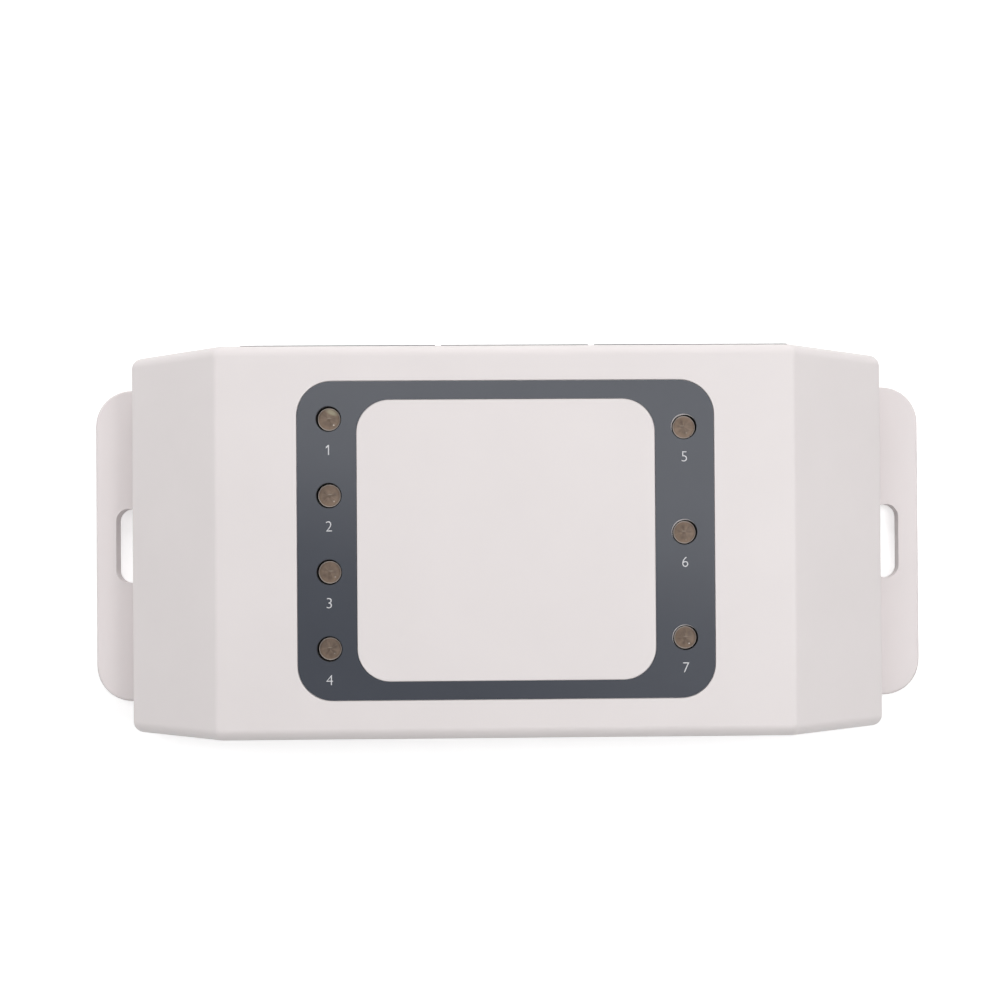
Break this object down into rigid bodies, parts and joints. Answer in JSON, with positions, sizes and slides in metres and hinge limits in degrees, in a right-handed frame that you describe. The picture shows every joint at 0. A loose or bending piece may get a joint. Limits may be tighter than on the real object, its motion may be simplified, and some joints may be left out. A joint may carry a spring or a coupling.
{
  "type": "door control module",
  "caption": "Wall-mounted door control module with sloped ends, slotted ears, an indicator panel with clear lenses, pull-out terminal blocks and a sprung tamper plunger.",
  "frame": {"origin": "middle of the flat back face, halfway between the ears and between the case's long sides", "axes": "+X along the module from the side with four lenses to the side with three, +Y towards the terminals, +Z out of the wall through the front panel"},
  "size_m": [0.14, 0.063, 0.0246],
  "materials": {
    "case_white": "satin moulded ABS",
    "panel_grey": "semi-gloss printed film",
    "lens_clear": "clear polycarbonate with a slight smoke",
    "board_green": "solder mask",
    "led_body": "gloss",
    "terminal_black": "matte glass-filled nylon",
    "contact_tin": "tin plated",
    "screw_steel": "zinc plated",
    "cage_steel": "nickel plated",
    "switch_black": "matte",
    "plunger_white": "satin acetal",
    "spring_steel": "bright wire",
    "relay_iron": "nickel plated",
    "coil_copper": "enamelled copper wire",
    "relay_black": "gloss",
    "chip_black": "matte epoxy",
    "capacitor_sleeve": "sleeved can",
    "ferrite_grey": "matte ferrite"
  },
  "bodies": {
    "case": {"front_cover": "case_white", "rear_shell": "case_white", "indicator_overlay": "panel_grey", "main_board": "board_green", "indicator_leds": "led_body", "case_screws": "screw_steel", "board_screws": "screw_steel", "header_pins": "contact_tin", "tamper_switch_body": "switch_black", "tamper_spring": "spring_steel", "relay_yoke": "relay_iron", "relay_coil": "coil_copper", "relay_contacts": "contact_tin", "relay_base": "relay_black", "relay_cover": "relay_black", "microcontroller": "chip_black", "bus_transceiver": "chip_black", "voltage_regulator": "chip_black", "filter_capacitor": "capacitor_sleeve", "power_inductor": "ferrite_grey", "light_pipe_1": "lens_clear", "light_pipe_2": "lens_clear", "light_pipe_3": "lens_clear", "light_pipe_4": "lens_clear", "light_pipe_5": "lens_clear", "light_pipe_6": "lens_clear", "light_pipe_7": "lens_clear", "terminal_header_1": "terminal_black", "terminal_header_2": "terminal_black", "terminal_header_3": "terminal_black"},
    "plunger": {"tamper_plunger": "plunger_white"},
    "armature": {"relay_armature": "relay_iron"},
    "plug_1": {"terminal_plug_1": "terminal_black", "plug_contacts_1": "contact_tin"},
    "plug_2": {"terminal_plug_2": "terminal_black", "plug_contacts_2": "contact_tin"},
    "plug_3": {"terminal_plug_3": "terminal_black", "plug_contacts_3": "contact_tin"},
    "screw_1": {"clamp_screw_1": "screw_steel"},
    "cage_1": {"clamp_cage_1": "cage_steel"},
    "screw_2": {"clamp_screw_2": "screw_steel"},
    "cage_2": {"clamp_cage_2": "cage_steel"},
    "screw_3": {"clamp_screw_3": "screw_steel"},
    "cage_3": {"clamp_cage_3": "cage_steel"},
    "screw_4": {"clamp_screw_4": "screw_steel"},
    "cage_4": {"clamp_cage_4": "cage_steel"},
    "screw_5": {"clamp_screw_5": "screw_steel"},
    "cage_5": {"clamp_cage_5": "cage_steel"},
    "screw_6": {"clamp_screw_6": "screw_steel"},
    "cage_6": {"clamp_cage_6": "cage_steel"},
    "screw_7": {"clamp_screw_7": "screw_steel"},
    "cage_7": {"clamp_cage_7": "cage_steel"},
    "screw_8": {"clamp_screw_8": "screw_steel"},
    "cage_8": {"clamp_cage_8": "cage_steel"},
    "screw_9": {"clamp_screw_9": "screw_steel"},
    "cage_9": {"clamp_cage_9": "cage_steel"},
    "screw_10": {"clamp_screw_10": "screw_steel"},
    "cage_10": {"clamp_cage_10": "cage_steel"},
    "screw_11": {"clamp_screw_11": "screw_steel"},
    "cage_11": {"clamp_cage_11": "cage_steel"}
  },
  "joints": [
    {"name": "plug_1_pull", "type": "slide", "parent": "case", "child": "plug_1", "axis": [0, 1, 0], "range_m": [0, 0.02]},
    {"name": "screw_1_turn", "type": "hinge", "parent": "plug_1", "child": "screw_1", "pos_m": [-0.03865, 0.0277, 0.005], "axis": [0, 0, 1], "range_deg": [0, 2160]},
    {"name": "cage_1_draw", "type": "slide", "parent": "plug_1", "child": "cage_1", "axis": [0, 0, -1], "range_m": [0, 0.003]},
    {"name": "screw_2_turn", "type": "hinge", "parent": "plug_1", "child": "screw_2", "pos_m": [-0.03103, 0.0277, 0.005], "axis": [0, 0, 1], "range_deg": [0, 2160]},
    {"name": "cage_2_draw", "type": "slide", "parent": "plug_1", "child": "cage_2", "axis": [0, 0, -1], "range_m": [0, 0.003]},
    {"name": "screw_3_turn", "type": "hinge", "parent": "plug_1", "child": "screw_3", "pos_m": [-0.02341, 0.0277, 0.005], "axis": [0, 0, 1], "range_deg": [0, 2160]},
    {"name": "cage_3_draw", "type": "slide", "parent": "plug_1", "child": "cage_3", "axis": [0, 0, -1], "range_m": [0, 0.003]},
    {"name": "screw_4_turn", "type": "hinge", "parent": "plug_1", "child": "screw_4", "pos_m": [-0.01579, 0.0277, 0.005], "axis": [0, 0, 1], "range_deg": [0, 2160]},
    {"name": "cage_4_draw", "type": "slide", "parent": "plug_1", "child": "cage_4", "axis": [0, 0, -1], "range_m": [0, 0.003]},
    {"name": "plug_2_pull", "type": "slide", "parent": "case", "child": "plug_2", "axis": [0, 1, 0], "range_m": [0, 0.02]},
    {"name": "screw_5_turn", "type": "hinge", "parent": "plug_2", "child": "screw_5", "pos_m": [-0.00627, 0.0277, 0.005], "axis": [0, 0, 1], "range_deg": [0, 2160]},
    {"name": "cage_5_draw", "type": "slide", "parent": "plug_2", "child": "cage_5", "axis": [0, 0, -1], "range_m": [0, 0.003]},
    {"name": "screw_6_turn", "type": "hinge", "parent": "plug_2", "child": "screw_6", "pos_m": [0.00135, 0.0277, 0.005], "axis": [0, 0, 1], "range_deg": [0, 2160]},
    {"name": "cage_6_draw", "type": "slide", "parent": "plug_2", "child": "cage_6", "axis": [0, 0, -1], "range_m": [0, 0.003]},
    {"name": "screw_7_turn", "type": "hinge", "parent": "plug_2", "child": "screw_7", "pos_m": [0.00897, 0.0277, 0.005], "axis": [0, 0, 1], "range_deg": [0, 2160]},
    {"name": "cage_7_draw", "type": "slide", "parent": "plug_2", "child": "cage_7", "axis": [0, 0, -1], "range_m": [0, 0.003]},
    {"name": "plug_3_pull", "type": "slide", "parent": "case", "child": "plug_3", "axis": [0, 1, 0], "range_m": [0, 0.02]},
    {"name": "screw_8_turn", "type": "hinge", "parent": "plug_3", "child": "screw_8", "pos_m": [0.01849, 0.0277, 0.005], "axis": [0, 0, 1], "range_deg": [0, 2160]},
    {"name": "cage_8_draw", "type": "slide", "parent": "plug_3", "child": "cage_8", "axis": [0, 0, -1], "range_m": [0, 0.003]},
    {"name": "screw_9_turn", "type": "hinge", "parent": "plug_3", "child": "screw_9", "pos_m": [0.02611, 0.0277, 0.005], "axis": [0, 0, 1], "range_deg": [0, 2160]},
    {"name": "cage_9_draw", "type": "slide", "parent": "plug_3", "child": "cage_9", "axis": [0, 0, -1], "range_m": [0, 0.003]},
    {"name": "screw_10_turn", "type": "hinge", "parent": "plug_3", "child": "screw_10", "pos_m": [0.03373, 0.0277, 0.005], "axis": [0, 0, 1], "range_deg": [0, 2160]},
    {"name": "cage_10_draw", "type": "slide", "parent": "plug_3", "child": "cage_10", "axis": [0, 0, -1], "range_m": [0, 0.003]},
    {"name": "screw_11_turn", "type": "hinge", "parent": "plug_3", "child": "screw_11", "pos_m": [0.04135, 0.0277, 0.005], "axis": [0, 0, 1], "range_deg": [0, 2160]},
    {"name": "cage_11_draw", "type": "slide", "parent": "plug_3", "child": "cage_11", "axis": [0, 0, -1], "range_m": [0, 0.003]},
    {"name": "tamper_press", "type": "slide", "parent": "case", "child": "plunger", "axis": [0, 0, -1], "range_m": [0, 0.002], "stiffness_N_per_m": 50, "springref_m": 0.006, "deforming": ["tamper_spring"]},
    {"name": "relay_pull_in", "type": "hinge", "parent": "case", "child": "armature", "pos_m": [0.0076, -0.014, 0.0064], "axis": [0, 1, 0], "range_deg": [0, 4.2], "stiffness_Nm_per_rad": 0.005, "springref_deg": -17.19}
  ],
  "couplings": [
    {"joint": "screw_1_turn", "follows": "cage_1_draw", "rad_per_m": 12566},
    {"joint": "screw_2_turn", "follows": "cage_2_draw", "rad_per_m": 12566},
    {"joint": "screw_3_turn", "follows": "cage_3_draw", "rad_per_m": 12566},
    {"joint": "screw_4_turn", "follows": "cage_4_draw", "rad_per_m": 12566},
    {"joint": "screw_5_turn", "follows": "cage_5_draw", "rad_per_m": 12566},
    {"joint": "screw_6_turn", "follows": "cage_6_draw", "rad_per_m": 12566},
    {"joint": "screw_7_turn", "follows": "cage_7_draw", "rad_per_m": 12566},
    {"joint": "screw_8_turn", "follows": "cage_8_draw", "rad_per_m": 12566},
    {"joint": "screw_9_turn", "follows": "cage_9_draw", "rad_per_m": 12566},
    {"joint": "screw_10_turn", "follows": "cage_10_draw", "rad_per_m": 12566},
    {"joint": "screw_11_turn", "follows": "cage_11_draw", "rad_per_m": 12566}
  ]
}
